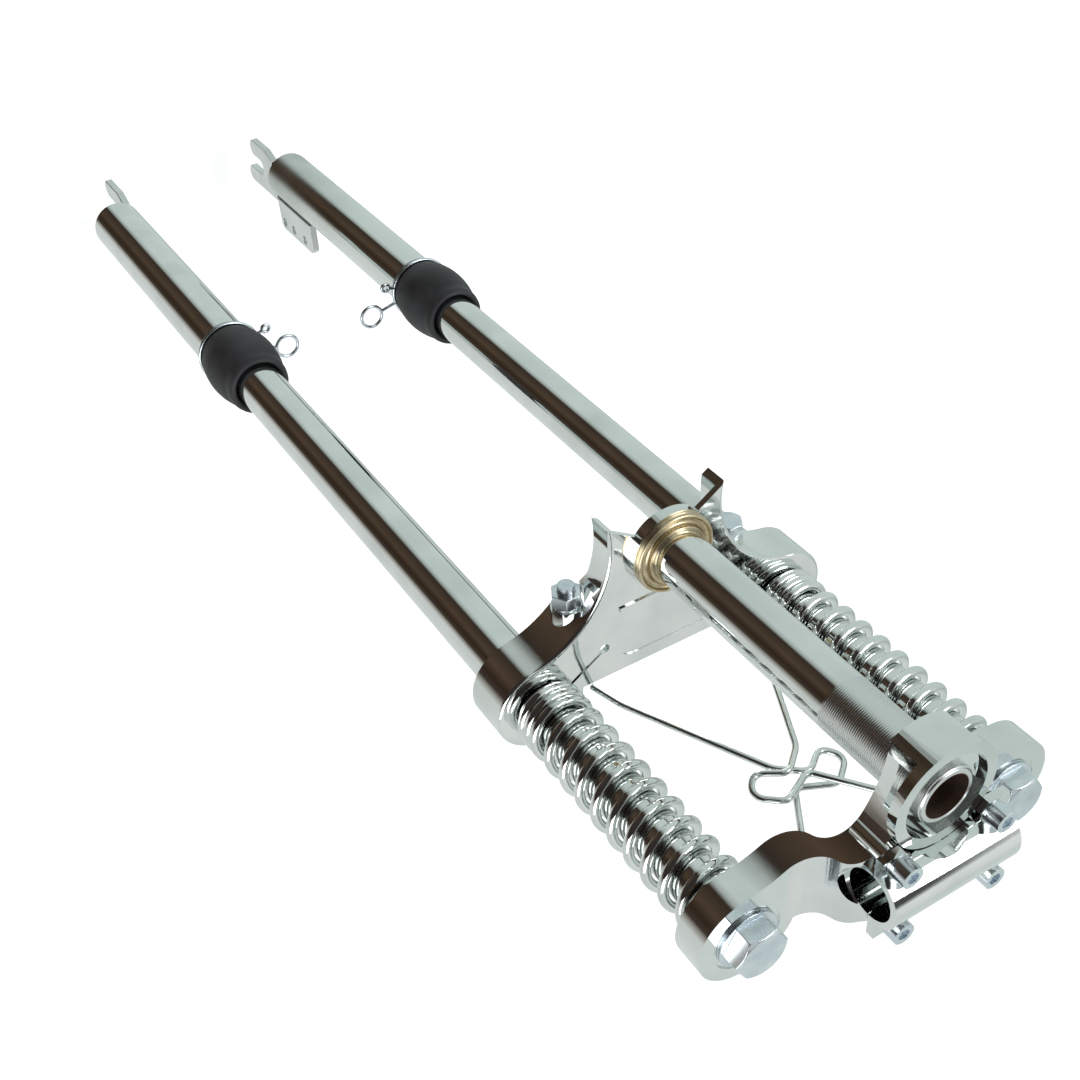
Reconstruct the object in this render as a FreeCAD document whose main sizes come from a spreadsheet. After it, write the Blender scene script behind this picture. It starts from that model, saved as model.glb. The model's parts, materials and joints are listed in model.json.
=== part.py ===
import FreeCAD, Part
import math
import os
import Sketcher
from FreeCAD import Placement, Rotation, Vector

# Telescopic front fork of a light moped, upright as it is ridden.
# Frame: +Z up along the steerer axis, -Y to the front, +X to the rider's left.
# Origin: steerer axis at the seat of the crown race.  Millimetres.

DIMENSIONS = [
    # layout
    ("leg_offset", 67.0), ("leg_plane", -63.0),
    # steerer and crown race
    ("steerer_radius", 13.0), ("steerer_bore", 10.2), ("steerer_root", -9.0), ("steerer_top", 169.5),
    ("race_radius", 20.0), ("race_height", 4.0),
    # lower yoke
    ("web_top", -4.0), ("web_thick", 3.0), ("flange_wall", 3.0), ("yoke_bottom", -28.0),
    ("flange_bottom", -17.0), ("eye_radius", 21.5), ("sweep_radius", 50.0), ("sweep_x", 80.0),
    ("sweep_y", 12.0), ("horn_y", 22.0), ("web_front", -61.0), ("collar_radius", 21.0),
    # stanchion, slider and what is inside a leg
    ("tube_radius", 14.0), ("tube_bore", 11.0), ("tube_bottom", -518.0), ("slider_radius", 17.0),
    ("slider_bore", 15.0), ("slider_bottom", -590.0), ("slider_top", -374.0), ("slider_floor", 4.0),
    ("bush_length", 18.0), ("bush_play", 0.05), ("rod_radius", 7.0), ("rod_top", -476.0),
    ("rod_head_radius", 10.5), ("rod_head_height", 6.0), ("stop_bottom", -250.0), ("stop_height", 12.0),
    ("plug_length", 30.0),
    # rubber boot and its wire clip
    ("boot_bottom", -381.0), ("boot_length", 52.0), ("boot_radius", 22.3), ("clip_wire", 1.1),
    ("clip_loop", 18.6), ("ring_radius", 7.2),
    # distance tube and dress spring between the yokes
    ("distance_radius", 11.6), ("distance_bore", 9.0), ("dress_wire", 2.4), ("dress_mean", 14.8),
    # top yoke
    ("arm_bottom", 128.0), ("arm_top", 143.0), ("crown_bottom", 151.0), ("crown_top", 166.0),
    ("boss_radius", 22.0), ("pocket_radius", 19.5), ("pocket_depth", 9.0), ("crown_radius", 24.5),
    ("ring_rise", 3.5),
    # handlebar clamp
    ("bar_radius", 11.1), ("bar_y", -36.0), ("bar_z", 168.0), ("clamp_half", 31.0), ("clamp_wall", 3.2),
    ("clamp_bolt_x", 23.0), ("clamp_bolt_y", 16.5), ("clamp_flange", 4.5),
    # fork ends
    ("end_thick", 5.0), ("end_x", 57.5), ("axle_radius", 6.0), ("axle_z", -616.0),
    # cable guides of bent wire
    ("guide_wire", 1.5),
]

doc = FreeCAD.newDocument("moped_fork")
sheet = doc.addObject("Spreadsheet::Sheet", "dims")
for row, (alias, value) in enumerate(DIMENSIONS, start=1):
    sheet.set(f"A{row}", alias)
    sheet.set(f"B{row}", str(value))
    sheet.setAlias(f"B{row}", alias)
doc.recompute()
D = dict(DIMENSIONS)
SIDES = (("left", 1), ("right", -1))
THROUGH = 500.0
parts = []


def keep(obj, label):
    """Name an object as a finished sub-part."""
    obj.Label = label
    parts.append(obj)
    return obj


def bind(obj, **expressions):
    """Bind properties to the sheet; __ in a name stands for a dot."""
    for prop, text in expressions.items():
        obj.setExpression(prop.replace("__", "."), text)
    return obj


def place(obj, x="0", y="0", z="0"):
    return bind(obj, Placement__Base__x=x, Placement__Base__y=y, Placement__Base__z=z)


def leg_place(obj, sign, z="0"):
    return place(obj, f"{sign} * dims.leg_offset", "dims.leg_plane", z)


def new_body(label):
    return keep(doc.addObject("PartDesign::Body", label), label)


def plane_of(body, role):
    return [f for f in body.Origin.OriginFeatures if f.Role == role][0]


def new_sketch(body, role, offset=0.0):
    sketch = body.newObject("Sketcher::SketchObject", body.Label + "_sketch")
    sketch.AttachmentSupport = (plane_of(body, role), "")
    sketch.MapMode = "FlatFace"
    sketch.AttachmentOffset = Placement(Vector(0, 0, offset), Rotation())
    return sketch


def pin_point(sketch, geo, vertex, x, y):
    """Hold a vertex at a place; x and y are numbers or (number, expression)."""
    for kind, coordinate in (("DistanceX", x), ("DistanceY", y)):
        value = coordinate if isinstance(coordinate, (int, float)) else coordinate[0]
        index = sketch.addConstraint(Sketcher.Constraint(kind, -1, 1, geo, vertex, value))
        if not isinstance(coordinate, (int, float)):
            sketch.setExpression(f"Constraints[{index}]", coordinate[1])


def number(coordinate):
    return coordinate if isinstance(coordinate, (int, float)) else coordinate[0]


def draw_loop(sketch, start, segments):
    """Closed outline: each segment is (x, y) for a line or (mid_x, mid_y, x, y) for an arc."""
    here = start
    for segment in segments:
        x, y = segment[-2:]
        a = Vector(number(here[0]), number(here[1]), 0)
        b = Vector(number(x), number(y), 0)
        if len(segment) == 4:
            middle = Vector(number(segment[0]), number(segment[1]), 0)
            arc = Part.Arc(a, middle, b)
            geo = sketch.addGeometry(arc, False)
            first = sketch.getPoint(geo, 1)
            ends = (1, 2) if (first - a).Length < 1e-6 else (2, 1)
            sketch.addConstraint(Sketcher.Constraint("Radius", geo, sketch.Geometry[geo].Radius))
        else:
            geo = sketch.addGeometry(Part.LineSegment(a, b), False)
            ends = (1, 2)
        pin_point(sketch, geo, ends[0], *here)
        pin_point(sketch, geo, ends[1], x, y)
        here = (x, y)


def draw_circle(sketch, x, y, radius):
    geo = sketch.addGeometry(Part.Circle(Vector(number(x), number(y), 0), Vector(0, 0, 1), number(radius)))
    pin_point(sketch, geo, 3, x, y)
    index = sketch.addConstraint(Sketcher.Constraint("Radius", geo, number(radius)))
    if not isinstance(radius, (int, float)):
        sketch.setExpression(f"Constraints[{index}]", radius[1])


def d(alias, scale=1.0, shift=0.0):
    """A dimension as (number, expression), scaled and shifted."""
    return (D[alias] * scale + shift, f"dims.{alias} * {scale} + {shift}")


def feature(body, kind, sketch, **values):
    item = body.newObject("PartDesign::" + kind, body.Label + "_" + kind.lower())
    item.Profile = sketch
    for prop, value in values.items():
        if isinstance(value, tuple):
            item.setExpression(prop, value[1])
        else:
            setattr(item, prop, value)
    return item


def check_volume(body, action, label):
    """Run a change and insist that it changes the body's volume."""
    doc.recompute()
    before = 0.0 if body.Shape.isNull() else body.Shape.Volume
    result = action()
    doc.recompute()
    if abs(body.Shape.Volume - before) < 1.0:
        raise RuntimeError(f"{label} changed nothing in {body.Label}")
    return result


def cut(body, role, offset, draw, length=None, both=False, reverse=False):
    """Pocket a sketch that draw(sketch) fills in; no length cuts through everything."""
    sketch = new_sketch(body, role, offset)
    draw(sketch)
    side = "Symmetric" if both else "One side"
    depth = THROUGH if length is None else length
    return check_volume(
        body, lambda: feature(body, "Pocket", sketch, SideType=side, Reversed=reverse, Length=depth), "pocket")


def add(body, role, offset, draw, length, reverse=False, both=False):
    sketch = new_sketch(body, role, offset)
    draw(sketch)
    side = "Symmetric" if both else "One side"
    return check_volume(
        body, lambda: feature(body, "Pad", sketch, SideType=side, Length=length, Reversed=reverse), "pad")


def turned(label, profile, at=("0", "0", "0")):
    """Solid of revolution about Z from a half profile of (radius, height) points."""
    body = new_body(label)
    sketch = new_sketch(body, "XZ_Plane")
    draw_loop(sketch, profile[0], profile[1:] + [profile[0]])
    revolution = feature(body, "Revolution", sketch)
    revolution.ReferenceAxis = (sketch, ["V_Axis"])
    revolution.Angle = 360.0
    place(body, *at)
    return body


def leg_at(sign, z="0"):
    return (f"{sign} * dims.leg_offset", "dims.leg_plane", z)


def ring_profile(inner, outer, low, high):
    return [(inner, low), (outer, low), (outer, high), (inner, high)]


def round_edges(body, radius, wanted):
    """Fillet the edges of the body for which wanted(edge) is true."""
    doc.recompute()
    base = body.Tip
    names = [f"Edge{i + 1}" for i, edge in enumerate(base.Shape.Edges) if wanted(edge)]
    fillet = body.newObject("PartDesign::Fillet", body.Label + "_fillet")
    fillet.Base = (base, names)
    fillet.Radius = radius
    doc.recompute()
    return fillet


def curved_edge_at(z, tolerance=0.01):
    """Picks the arcs that lie in the plane at height z."""
    return lambda edge: hasattr(edge.Curve, "Radius") and all(
        abs(v.Point.z - z) < tolerance for v in edge.Vertexes)


# ---------------------------------------------------------------- steerer
def make_steerer():
    length = (D["steerer_top"] - D["steerer_root"], "dims.steerer_top - dims.steerer_root")
    bevel = 1.0
    turned("steerer_tube", [
        (d("steerer_bore"), 0), (d("steerer_radius"), 0),
        (d("steerer_radius"), (length[0] - bevel, f"{length[1]} - {bevel}")),
        (d("steerer_radius", 1, -bevel), length), (d("steerer_bore"), length),
    ], ("0", "0", "dims.steerer_root"))


def make_crown_race():
    """Pressed ring with a ball groove, on the collar of the lower yoke."""
    fit = 0.02
    turned("crown_race", [
        (d("steerer_radius", 1, fit), 0), (d("race_radius"), 0), (d("race_radius"), 2.4), (19.3, 3.0),
        (18.6, 3.0), (16.6, 1.2, 14.9, 3.2), (14.6, d("race_height")),
        (d("steerer_radius", 1, fit), d("race_height")),
    ])


# ------------------------------------------------------------- lower yoke
def on_circle(cx, cy, radius, angle):
    return (cx + radius * math.cos(math.radians(angle)), cy + radius * math.sin(math.radians(angle)))


def circles_meet(c1, r1, c2, r2):
    """The crossing of two circles that lies nearer to the steerer side (larger y)."""
    dx, dy = c2[0] - c1[0], c2[1] - c1[1]
    gap = math.hypot(dx, dy)
    along = (r1 ** 2 - r2 ** 2 + gap ** 2) / (2 * gap)
    off = math.sqrt(max(r1 ** 2 - along ** 2, 0.0))
    base = (c1[0] + along * dx / gap, c1[1] + along * dy / gap)
    options = [(base[0] - s * off * dy / gap, base[1] + s * off * dx / gap) for s in (1, -1)]
    return max(options, key=lambda p: p[0])


def yoke_outline(sketch):
    """Plan of the lower yoke: two horns at the rear, sweeping sides, round eyes, straight front."""
    leg = (D["leg_offset"], D["leg_plane"])
    sweep = (D["sweep_x"], D["sweep_y"])
    eye_r, sweep_r = D["eye_radius"], D["sweep_radius"]
    horn_x = sweep[0] - math.sqrt(sweep_r ** 2 - (D["horn_y"] - sweep[1]) ** 2)
    join = circles_meet(leg, eye_r, sweep, sweep_r)
    front_x = leg[0] - math.sqrt(eye_r ** 2 - (D["web_front"] - leg[1]) ** 2)
    sweep_mid = on_circle(*sweep, sweep_r, 215)
    eye_mid = on_circle(*leg, eye_r, -60)
    back_x = 14.0
    back_y = 11.0
    right_side = [
        (-eye_mid[0], eye_mid[1], -join[0], join[1]),
        (-sweep_mid[0], sweep_mid[1], -horn_x, D["horn_y"]),
        (-back_x, back_y), (back_x, back_y),
    ]
    left_side = [
        (horn_x, D["horn_y"]),
        (sweep_mid[0], sweep_mid[1], join[0], join[1]),
        (eye_mid[0], eye_mid[1], front_x, D["web_front"]),
        (-front_x, D["web_front"]),
    ]
    draw_loop(sketch, (-front_x, D["web_front"]), right_side + left_side)


def yoke_hollow(sketch):
    """The space under the web, inside the pressed side walls."""
    wall = D["flange_wall"]
    leg = (D["leg_offset"], D["leg_plane"])
    sweep = (D["sweep_x"], D["sweep_y"])
    ring_r = D["eye_radius"]
    sweep_r = D["sweep_radius"] + wall
    open_y = 26.0
    top_x = sweep[0] - math.sqrt(sweep_r ** 2 - (open_y - sweep[1]) ** 2)
    join_a = circles_meet(leg, ring_r, sweep, sweep_r)
    front = D["web_front"] + wall
    front_x = leg[0] - math.sqrt(ring_r ** 2 - (front - leg[1]) ** 2)
    sweep_mid = on_circle(*sweep, sweep_r, 212)
    angle_a = math.degrees(math.atan2(join_a[1] - leg[1], join_a[0] - leg[0]))
    angle_b = math.degrees(math.atan2(front - leg[1], front_x - leg[0]))
    ring_mid = on_circle(*leg, ring_r, (angle_a + angle_b) / 2)
    draw_loop(sketch, (top_x, open_y), [
        (sweep_mid[0], sweep_mid[1], join_a[0], join_a[1]),
        (ring_mid[0], ring_mid[1], front_x, front),
        (-front_x, front),
        (-ring_mid[0], ring_mid[1], -join_a[0], join_a[1]),
        (-sweep_mid[0], sweep_mid[1], -top_x, open_y),
        (top_x, open_y),
    ])


def make_lower_yoke():
    body = new_body("lower_yoke")
    top, bottom = D["web_top"], D["yoke_bottom"]
    add(body, "XY_Plane", bottom, yoke_outline, (top - bottom, "dims.web_top - dims.yoke_bottom"))
    round_edges(body, 2.0, curved_edge_at(top))

    def flange_step(sketch):
        inner_x, outer_x, low = 34.0, 47.0, bottom - 2.0
        draw_loop(sketch, (-outer_x, low), [
            (-inner_x, d("flange_bottom")), (inner_x, d("flange_bottom")), (outer_x, low), (-outer_x, low)])

    cut(body, "XZ_Plane", 0, flange_step, both=True)
    hollow = top - D["web_thick"] - bottom
    cut(body, "XY_Plane", bottom, yoke_hollow, (hollow, "dims.web_top - dims.web_thick - dims.yoke_bottom"),
        reverse=True)
    socket_radius, socket_bottom = 17.0, -9.0
    add(body, "XY_Plane", 0, lambda s: draw_circle(s, 0, 0, socket_radius), -socket_bottom, reverse=True)
    add(body, "XY_Plane", top - 1.0, lambda s: draw_circle(s, 0, 0, d("collar_radius")), 1.0 - top)
    cut(body, "XY_Plane", 0, lambda s: draw_circle(s, 0, 0, d("steerer_radius")), both=True)
    boss_front, boss_back, boss_radius = -58.5, -22.0, 7.5
    for sign in (1, -1):
        add(body, "XZ_Plane", -boss_front, lambda s: draw_circle(
            s, sign * PINCH_X, PINCH_Z, boss_radius), boss_back - boss_front, reverse=True)
        cut(body, "XY_Plane", 0, lambda s: draw_circle(
            s, d("leg_offset", sign), d("leg_plane"), d("tube_radius")), both=True)
    spot_radius, behind = 7.8, 14.0
    for sign in (1, -1):
        cut(body, "XZ_Plane", -boss_back, lambda s: draw_circle(
            s, sign * PINCH_X, PINCH_Z, spot_radius), behind)
        cut(body, "XZ_Plane", -D["web_front"], lambda s: draw_circle(
            s, sign * PINCH_X, PINCH_Z, spot_radius), behind, reverse=True)
    make_pinch_slits(body)
    make_yoke_trim(body)
    return body


PINCH_X = 44.5
PINCH_Z = -18.5


def make_pinch_slits(body):
    """Saw cut from each eye into the web, ended by a drilled hole, and the pinch bolt's holes."""
    start, end = (54.0, -56.0), (34.5, -43.5)
    half_width, relief, bolt_hole = 0.8, 2.6, 4.2
    length = math.hypot(end[0] - start[0], end[1] - start[1])
    nx, ny = -(end[1] - start[1]) / length * half_width, (end[0] - start[0]) / length * half_width
    for sign in (1, -1):
        def slit(sketch):
            draw_loop(sketch, (sign * (start[0] + nx), start[1] + ny), [
                (sign * (end[0] + nx), end[1] + ny), (sign * (end[0] - nx), end[1] - ny),
                (sign * (start[0] - nx), start[1] - ny), (sign * (start[0] + nx), start[1] + ny)])
        cut(body, "XY_Plane", 0, slit, both=True)
        cut(body, "XY_Plane", 0, lambda s: draw_circle(s, sign * end[0], end[1], relief), both=True)
        cut(body, "XZ_Plane", 0, lambda s: draw_circle(s, sign * PINCH_X, PINCH_Z, bolt_hole), both=True)


def make_yoke_trim(body):
    """A slot in each side wall, a pressed bead and a plain recessed panel on the web."""
    slot_y, slot_half, slot_low, slot_high = -17.0, 4.5, -13.5, -8.5
    for sign in (1, -1):
        cut(body, "YZ_Plane", sign * 40.0, lambda s: draw_loop(
            s, (slot_y - slot_half, slot_low),
            [(slot_y + slot_half, slot_low), (slot_y + slot_half, slot_high),
             (slot_y - slot_half, slot_high), (slot_y - slot_half, slot_low)]), 24.0, both=True)
    bead_half, bead_y, bead_width, bead_rise = 26.0, -25.5, 2.2, 0.8
    add(body, "XY_Plane", D["web_top"], lambda s: draw_loop(
        s, (-bead_half, bead_y),
        [(bead_half, bead_y), (bead_half, bead_y + bead_width), (-bead_half, bead_y + bead_width),
         (-bead_half, bead_y)]), bead_rise)
    panel_half, panel_back, panel_front, corner, panel_deep = 27.0, -29.0, -54.0, 8.0, 0.5
    bend = corner * (1 - math.sqrt(0.5))
    cut(body, "XY_Plane", D["web_top"], lambda s: draw_loop(
        s, (-panel_half, panel_back),
        [(panel_half, panel_back), (panel_half, panel_front + corner),
         (panel_half - bend, panel_front + bend, panel_half - corner, panel_front),
         (-panel_half + corner, panel_front),
         (-panel_half + bend, panel_front + bend, -panel_half, panel_front + corner),
         (-panel_half, panel_back)]), panel_deep)



# -------------------------------------------------------------- leg pieces
def span(low, high):
    """The distance between two heights of the sheet, as (number, expression)."""
    return (D[high] - D[low], f"dims.{high} - dims.{low}")


def make_leg_tubes(side, sign):
    turned(f"stanchion_{side}", ring_profile(
        d("tube_bore"), d("tube_radius"), 0, span("tube_bottom", "web_top")), leg_at(sign, "dims.tube_bottom"))
    thread_radius, fit = 5.0, 0.02
    turned(f"stanchion_plug_{side}", ring_profile(
        thread_radius, d("tube_bore", 1, -fit), 0, d("plug_length")),
        leg_at(sign, "dims.web_top - dims.plug_length"))
    turned(f"distance_tube_{side}", ring_profile(
        d("distance_bore"), d("distance_radius"), 0, span("web_top", "arm_bottom")),
        leg_at(sign, "dims.web_top"))
    height = span("slider_bottom", "slider_top")
    screw_hole, bevel = 4.2, 1.2
    turned(f"slider_{side}", [
        (screw_hole, 0), (d("slider_radius", 1, -bevel), 0), (d("slider_radius"), bevel),
        (d("slider_radius"), height), (d("slider_bore"), height), (d("slider_bore"), d("slider_floor")),
        (screw_hole, d("slider_floor"))], leg_at(sign, "dims.slider_bottom"))


def make_leg_bushes(side, sign):
    """Guide bushes, and the sleeve that stops the slider when the leg is fully out."""
    fit = 0.02
    turned(f"lower_bush_{side}", ring_profile(
        d("tube_radius", 1, fit), d("slider_bore", 1, -D["bush_play"]), 0, d("bush_length")),
        leg_at(sign, "dims.tube_bottom"))
    turned(f"upper_bush_{side}", ring_profile(
        d("tube_radius", 1, D["bush_play"]), d("slider_bore", 1, -fit), 0, d("bush_length")),
        leg_at(sign, "dims.slider_top - dims.bush_length"))
    stop_gap, sleeve_wall = 0.4, 0.75
    length = (D["slider_top"] - D["tube_bottom"] - 2 * D["bush_length"] - stop_gap,
              f"dims.slider_top - dims.tube_bottom - 2 * dims.bush_length - {stop_gap}")
    turned(f"top_out_sleeve_{side}", ring_profile(
        d("tube_radius", 1, fit), d("tube_radius", 1, sleeve_wall), 0, length),
        leg_at(sign, "dims.tube_bottom + dims.bush_length"))


def make_leg_inside(side, sign):
    """Spring post, its screw, the working spring and the fixed stop above it."""
    height = (D["rod_top"] - D["slider_bottom"] - D["slider_floor"],
              "dims.rod_top - dims.slider_bottom - dims.slider_floor")
    neck = (height[0] - D["rod_head_height"], f"{height[1]} - dims.rod_head_height")
    thread_radius, thread_depth = 4.0, 24.0
    turned(f"spring_post_{side}", [
        (thread_radius, 0), (d("rod_radius"), 0), (d("rod_radius"), neck), (d("rod_head_radius"), neck),
        (d("rod_head_radius"), height), (0, height), (0, thread_depth), (thread_radius, thread_depth)],
        leg_at(sign, "dims.slider_bottom + dims.slider_floor"))
    head_radius, head_height, socket_radius, socket_depth, shank = 6.2, 6.0, 3.2, 4.0, 20.0
    turned(f"post_screw_{side}", [
        (socket_radius, 0), (head_radius, 0), (head_radius, head_height), (thread_radius, head_height),
        (thread_radius, head_height + shank), (0, head_height + shank), (0, socket_depth),
        (socket_radius, socket_depth)], leg_at(sign, f"dims.slider_bottom - {head_height}"))
    fit, vent_radius = 0.02, 3.0
    turned(f"spring_stop_{side}", ring_profile(
        vent_radius, d("tube_bore", 1, -fit), 0, d("stop_height")), leg_at(sign, "dims.stop_bottom"))
    wire_radius, mean_radius, gap, turns = 1.7, 8.6, 0.3, 22
    low = D["rod_top"] + wire_radius + gap
    high = D["stop_bottom"] - wire_radius - gap
    helix = Part.makeHelix((high - low) / turns, high - low, mean_radius)
    coil_solid(f"fork_spring_{side}", helix, mean_radius, wire_radius, sign, low)


def coil_solid(label, path, mean_radius, wire_radius, sign, low):
    """A round wire swept along a coil that starts on the +X side at height 0."""
    start = path.Edges[0].valueAt(path.Edges[0].FirstParameter)
    along = path.Edges[0].tangentAt(path.Edges[0].FirstParameter)
    ring = Part.Wire([Part.makeCircle(wire_radius, start, along)])
    solid = Part.Wire(path.Edges).makePipeShell([ring], True, True)
    item = doc.addObject("Part::Feature", label)
    item.Shape = solid
    item.Placement = Placement(Vector(sign * D["leg_offset"], D["leg_plane"], low), Rotation())
    return keep(item, label)


def make_dress_spring(side, sign):
    """Bright spring round the distance tube: close turns at the foot, open turns above."""
    wire, mean = D["dress_wire"], D["dress_mean"]
    low = D["web_top"] + wire
    height = D["arm_bottom"] - wire - low
    close_turns, open_turns, last_turns = 2.5, 9.0, 1.0
    close_pitch = 2 * wire + 0.25
    open_pitch = (height - close_pitch * (close_turns + last_turns)) / open_turns
    steps = 16
    total = close_turns + open_turns + last_turns
    points = []
    for step in range(int(total * steps) + 1):
        turn = step / steps
        rise = close_pitch * min(turn, close_turns)
        rise += open_pitch * min(max(turn - close_turns, 0), open_turns)
        rise += close_pitch * max(turn - close_turns - open_turns, 0)
        angle = 2 * math.pi * turn
        points.append(Vector(mean * math.cos(angle), mean * math.sin(angle), rise))
    curve = Part.BSplineCurve()
    curve.interpolate(points)
    coil_solid(f"dress_spring_{side}", curve.toShape(), mean, wire, sign, low)


def make_boot(side, sign):
    """Ball-shaped rubber boot: it grips the slider's mouth and wipes the stanchion."""
    lip = d("tube_radius", 1, 0.3)
    grip = d("slider_radius", 1, 0.02)
    mouth = (D["slider_top"] - D["boot_bottom"], "dims.slider_top - dims.boot_bottom")
    turned(f"boot_{side}", [
        (grip, 0), (19.0, 0), (19.4, 1.4), (18.3, 2.2), (18.3, 5.2), (19.6, 6.2),
        (d("boot_radius"), 23.0, 19.4, 42.0), (19.0, 44.0), (19.2, 46.0), (18.4, 50.6),
        (16.8, d("boot_length")), (15.2, 49.0), (lip, 44.0), (lip, 40.0), (15.6, 39.0),
        (19.0, 23.0, 17.4, 11.0), (15.4, 9.5), (15.4, mouth), (grip, mouth)],
        leg_at(sign, "dims.boot_bottom"))


def fuse(label, shapes):
    """One solid from Part objects, as a Part::MultiFuse."""
    item = doc.addObject("Part::MultiFuse", label)
    item.Shapes = shapes
    item.Refine = True
    return keep(item, label)


def primitive(kind, name, position, axis=Vector(0, 0, 1), **values):
    item = doc.addObject("Part::" + kind, name)
    for prop, value in values.items():
        if isinstance(value, tuple):
            item.setExpression(prop, value[1])
        else:
            setattr(item, prop, value)
    item.Placement = Placement(position, Rotation(Vector(0, 0, 1), axis))
    return item


def make_boot_clip(side, sign):
    """Spring wire round the groove of the boot, with a cable ring and a small closing loop."""
    wire = d("clip_wire")
    height = D["boot_bottom"] + 3.7
    centre = Vector(sign * D["leg_offset"], D["leg_plane"], height)
    ring_at, loop_at, loop_radius = (37.0, -9.0), (25.0, 8.0), 2.4
    hoop_radius = D["clip_loop"] + 1.0
    pieces = [primitive("Torus", "clip_hoop", centre, Radius1=hoop_radius, Radius2=wire)]
    for (along, across), radius in ((ring_at, D["ring_radius"]), (loop_at, loop_radius)):
        reach = math.hypot(along, across)
        out = Vector(-sign * along / reach, across / reach, 0)
        pieces.append(primitive("Torus", "clip_ring", centre + out * reach, Radius1=radius, Radius2=wire))
        stalk = reach - radius - hoop_radius
        pieces.append(primitive("Cylinder", "clip_stalk", centre + out * hoop_radius, axis=out,
                                Radius=wire, Height=stalk))
    fuse(f"boot_clip_{side}", pieces)


# ---------------------------------------------------------------- top yoke
def top_outline(sketch):
    """Plan of the top yoke: two leg bosses, arms that sweep to the round crown, straight front."""
    leg = (D["leg_offset"], D["leg_plane"])
    crown_r, boss_r = D["crown_radius"], D["boss_radius"]
    sweep, sweep_r = (72.0, 20.0), 59.0
    upper = circles_meet_high((0.0, 0.0), crown_r, sweep, sweep_r)
    lower = circles_meet(leg, boss_r, sweep, sweep_r)
    front_y = -66.0
    front_x = leg[0] - math.sqrt(boss_r ** 2 - (front_y - leg[1]) ** 2)
    sweep_mid = on_circle(*sweep, sweep_r, 225)
    boss_mid = on_circle(*leg, boss_r, -60)
    draw_loop(sketch, (-front_x, front_y), [
        (-boss_mid[0], boss_mid[1], -lower[0], lower[1]),
        (-sweep_mid[0], sweep_mid[1], -upper[0], upper[1]),
        (0.0, crown_r, upper[0], upper[1]),
        (sweep_mid[0], sweep_mid[1], lower[0], lower[1]),
        (boss_mid[0], boss_mid[1], front_x, front_y),
        (30.0, -58.0), (-30.0, -58.0), (-front_x, front_y)])


def circles_meet_high(c1, r1, c2, r2):
    """The crossing of two circles with the larger y."""
    gap = math.hypot(c2[0] - c1[0], c2[1] - c1[1])
    along = (r1 ** 2 - r2 ** 2 + gap ** 2) / (2 * gap)
    off = math.sqrt(max(r1 ** 2 - along ** 2, 0.0))
    ux, uy = (c2[0] - c1[0]) / gap, (c2[1] - c1[1]) / gap
    return max([(c1[0] + along * ux - s * off * uy, c1[1] + along * uy + s * off * ux) for s in (1, -1)],
               key=lambda p: p[1])


def make_top_yoke():
    body = new_body("top_yoke")
    low, high = D["arm_bottom"], D["crown_top"]
    add(body, "XY_Plane", low, top_outline, high - low)
    outer_x, inner_x, far, margin = 50.0, 22.0, 100.0, 2.0
    waist = (outer_x + inner_x) / 2

    def swell(top_z, foot_z):
        """Two arcs, level at both ends, from (inner_x, top_z) through the waist to (outer_x, foot_z)."""
        run, fall = waist - inner_x, (top_z - foot_z) / 2
        radius = (run ** 2 + fall ** 2) / (2 * fall)
        half = math.radians(90) - math.atan2(run, radius - fall) / 2
        shoulder = (inner_x + radius * math.cos(half), top_z - radius + radius * math.sin(half))
        toe = (outer_x - radius * math.cos(half), foot_z + radius - radius * math.sin(half))
        return shoulder, (waist, top_z - fall), toe

    def above_arm(sign):
        shoulder, centre, toe = swell(high, D["arm_top"])
        return lambda s: draw_loop(s, (sign * inner_x, high + margin), [
            (sign * inner_x, high), (sign * shoulder[0], shoulder[1], sign * centre[0], centre[1]),
            (sign * toe[0], toe[1], sign * outer_x, d("arm_top")), (sign * far, d("arm_top")),
            (sign * far, high + margin), (sign * inner_x, high + margin)])

    def below_crown(sketch):
        shoulder, centre, toe = swell(D["crown_bottom"], low)
        draw_loop(sketch, (-outer_x, low - margin), [
            (-outer_x, low), (-toe[0], toe[1], -centre[0], centre[1]),
            (-shoulder[0], shoulder[1], -inner_x, d("crown_bottom")), (inner_x, d("crown_bottom")),
            (shoulder[0], shoulder[1], centre[0], centre[1]), (toe[0], toe[1], outer_x, low),
            (outer_x, low - margin), (-outer_x, low - margin)])

    for sign in (1, -1):
        cut(body, "XZ_Plane", 0, above_arm(sign), both=True)
    cut(body, "XZ_Plane", 0, below_crown, both=True)
    add_clamp_seat(body)
    add(body, "XY_Plane", high - 1.0, lambda s: draw_circle(s, 0, 0, d("crown_radius")), D["ring_rise"] + 1.0)
    cut(body, "XY_Plane", high + D["ring_rise"], lambda s: draw_circle(s, 0, 0, d("pocket_radius")),
        (D["pocket_depth"] + D["ring_rise"], "dims.pocket_depth + dims.ring_rise"))
    cut(body, "XY_Plane", 0, lambda s: draw_circle(s, 0, 0, d("steerer_radius")), both=True)
    bolt_hole = 5.4
    for sign in (1, -1):
        cut(body, "XY_Plane", 0, lambda s: draw_circle(
            s, d("leg_offset", sign), d("leg_plane"), bolt_hole), both=True)
        spot_radius, spot_depth = 16.0, 0.8
        cut(body, "XY_Plane", D["arm_top"] + THROUGH, lambda s: draw_circle(
            s, d("leg_offset", sign), d("leg_plane"), spot_radius), THROUGH + spot_depth)


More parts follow.
